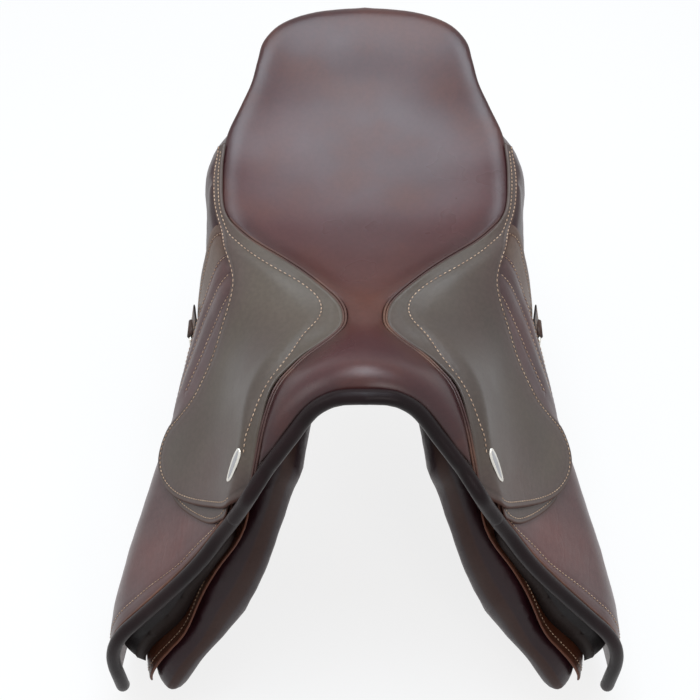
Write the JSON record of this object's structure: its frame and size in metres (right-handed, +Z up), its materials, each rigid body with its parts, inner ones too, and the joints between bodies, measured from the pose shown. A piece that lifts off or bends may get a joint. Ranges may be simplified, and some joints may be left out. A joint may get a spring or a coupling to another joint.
{
  "type": "close contact saddle",
  "caption": "Brown leather close contact jumping saddle with puffed pommel, skirts, forward flaps, front rolls, padded panels and a sprung tree.",
  "frame": {"origin": "on the centre plane, level with the lowest line of the panels under the middle of the seat, where the saddle bears on the back", "axes": "-Y forward to the pommel, +Y back to the cantle, +X to the right as seen in the picture (the left side of a rider), +Z up"},
  "size_m": [0.515, 0.5936, 0.4539],
  "materials": {
    "laminated_wood": "glued beech laminate",
    "tree_steel": "rolled spring steel",
    "bright_metal": "polished",
    "canvas": "woven webbing",
    "foam": "soft seat padding",
    "seat_leather": "smooth brown, lightly burnished",
    "skirt_leather": "worn grey-brown with fine creases",
    "flap_leather": "worn dark brown",
    "roll_leather": "dark brown, glazed",
    "sweat_flap_leather": "tan",
    "block_leather": "near black",
    "panel_leather": "soft dark plum",
    "strap_leather": "waxed dark brown"
  },
  "bodies": {
    "saddle": {"arch_roll": "roll_leather", "billet_web_1_left": "canvas", "billet_web_1_right": "canvas", "billet_web_2_left": "canvas", "billet_web_2_right": "canvas", "billet_web_3_left": "canvas", "billet_web_3_right": "canvas", "cantle_band": "seat_leather", "channel_lining": "panel_leather", "dee_chape_left": "strap_leather", "dee_chape_right": "strap_leather", "flap_top_left": "flap_leather", "flap_top_right": "flap_leather", "gullet_plate": "tree_steel", "head_plate": "tree_steel", "knee_block_left": "block_leather", "knee_block_right": "block_leather", "oval_plate_left": "bright_metal", "oval_plate_right": "bright_metal", "panel_left": "panel_leather", "panel_right": "panel_leather", "seat_cover": "seat_leather", "seat_foam": "foam", "seat_webbing": "canvas", "skirt_top_left": "skirt_leather", "skirt_top_right": "skirt_leather", "spring_rail_left": "tree_steel", "spring_rail_right": "tree_steel", "stirrup_bar_left": "bright_metal", "stirrup_bar_right": "bright_metal", "sweat_flap_left": "sweat_flap_leather", "sweat_flap_right": "sweat_flap_leather", "tree": "laminated_wood", "welt_left": "seat_leather", "welt_right": "seat_leather"},
    "flap_body_left": {"flap_left": "flap_leather", "flap_roll_left": "roll_leather"},
    "skirt_body_left": {"skirt_left": "skirt_leather", "under_skirt_left": "skirt_leather"},
    "catch_body_left": {"catch_left": "bright_metal"},
    "billet_1_body_left": {"billet_1_left": "strap_leather"},
    "billet_2_body_left": {"billet_2_left": "strap_leather"},
    "billet_3_body_left": {"billet_3_left": "strap_leather"},
    "dee_body_left": {"dee_left": "bright_metal"},
    "flap_body_right": {"flap_right": "flap_leather", "flap_roll_right": "roll_leather"},
    "skirt_body_right": {"skirt_right": "skirt_leather", "under_skirt_right": "skirt_leather"},
    "catch_body_right": {"catch_right": "bright_metal"},
    "billet_1_body_right": {"billet_1_right": "strap_leather"},
    "billet_2_body_right": {"billet_2_right": "strap_leather"},
    "billet_3_body_right": {"billet_3_right": "strap_leather"},
    "dee_body_right": {"dee_right": "bright_metal"}
  },
  "joints": [
    {"name": "flap_hinge_left", "type": "hinge", "parent": "saddle", "child": "flap_body_left", "pos_m": [-0.15486, 0.025, 0.07566], "axis": [-0.0945, 0.9677, 0.2339], "range_deg": [0, 65]},
    {"name": "skirt_hinge_left", "type": "hinge", "parent": "flap_body_left", "child": "skirt_body_left", "pos_m": [-0.15486, 0.025, 0.07566], "axis": [-0.0945, 0.9677, 0.2339], "range_deg": [0, 45]},
    {"name": "catch_hinge_left", "type": "hinge", "parent": "saddle", "child": "catch_body_left", "pos_m": [-0.09426, -0.097, 0.06032], "axis": [0.7863, 0.0142, 0.6177], "range_deg": [0, 75]},
    {"name": "billet_1_hinge_left", "type": "hinge", "parent": "saddle", "child": "billet_1_body_left", "pos_m": [-0.11201, -0.134, 0.0215], "axis": [0.7868, 0, -0.6172], "range_deg": [-2, 2]},
    {"name": "billet_2_hinge_left", "type": "hinge", "parent": "saddle", "child": "billet_2_body_left", "pos_m": [-0.11635, -0.092, 0.02584], "axis": [0.9454, 0, -0.3258], "range_deg": [-2, 2]},
    {"name": "billet_3_hinge_left", "type": "hinge", "parent": "saddle", "child": "billet_3_body_left", "pos_m": [-0.12679, -0.05, 0.03628], "axis": [0.9845, 0, -0.1751], "range_deg": [-2, 2]},
    {"name": "dee_hinge_left", "type": "hinge", "parent": "saddle", "child": "dee_body_left", "pos_m": [-0.18407, 0.012, -0.06484], "axis": [0, 1, 0], "range_deg": [0, 100]},
    {"name": "flap_hinge_right", "type": "hinge", "parent": "saddle", "child": "flap_body_right", "pos_m": [0.15486, 0.025, 0.07566], "axis": [-0.0945, -0.9677, -0.2339], "range_deg": [0, 65]},
    {"name": "skirt_hinge_right", "type": "hinge", "parent": "flap_body_right", "child": "skirt_body_right", "pos_m": [0.15486, 0.025, 0.07566], "axis": [-0.0945, -0.9677, -0.2339], "range_deg": [0, 45]},
    {"name": "catch_hinge_right", "type": "hinge", "parent": "saddle", "child": "catch_body_right", "pos_m": [0.09426, -0.097, 0.06032], "axis": [0.7863, -0.0142, -0.6177], "range_deg": [0, 75]},
    {"name": "billet_1_hinge_right", "type": "hinge", "parent": "saddle", "child": "billet_1_body_right", "pos_m": [0.11201, -0.134, 0.0215], "axis": [0.7868, 0, 0.6172], "range_deg": [-2, 2]},
    {"name": "billet_2_hinge_right", "type": "hinge", "parent": "saddle", "child": "billet_2_body_right", "pos_m": [0.11635, -0.092, 0.02584], "axis": [0.9454, 0, 0.3258], "range_deg": [-2, 2]},
    {"name": "billet_3_hinge_right", "type": "hinge", "parent": "saddle", "child": "billet_3_body_right", "pos_m": [0.12679, -0.05, 0.03628], "axis": [0.9845, 0, 0.1751], "range_deg": [-2, 2]},
    {"name": "dee_hinge_right", "type": "hinge", "parent": "saddle", "child": "dee_body_right", "pos_m": [0.18407, 0.012, -0.06484], "axis": [0, -1, 0], "range_deg": [0, 100]}
  ]
}
